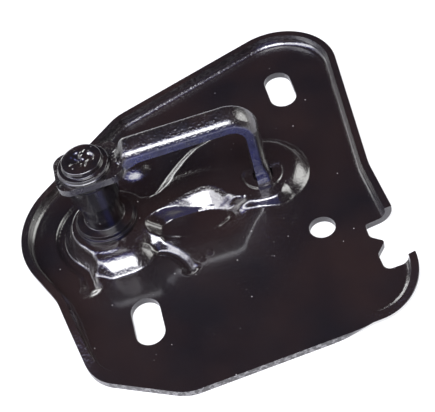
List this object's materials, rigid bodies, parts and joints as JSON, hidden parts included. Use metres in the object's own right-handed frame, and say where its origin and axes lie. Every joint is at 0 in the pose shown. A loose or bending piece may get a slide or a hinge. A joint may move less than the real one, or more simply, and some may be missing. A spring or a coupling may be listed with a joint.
{
  "type": "hood latch striker",
  "caption": "Striker plate of a hood latch: stamped rimmed plate with a shouldered headed pin and a bent bar that form the loop the claw catches.",
  "frame": {"origin": "axis of the round locating hole, at the plate's mounting face", "axes": "+Z is the mounting face's normal, towards the pin and bar; +Y is the long way of both slots; +X runs from the pin towards the leg"},
  "size_m": [0.1299, 0.1462, 0.04],
  "materials": {
    "plate_coat": "gloss",
    "pin_coat": "gloss",
    "bar_coat": "gloss"
  },
  "bodies": {
    "root": {"base_plate": "plate_coat", "striker_pin": "pin_coat", "striker_bar": "bar_coat"}
  },
  "joints": []
}
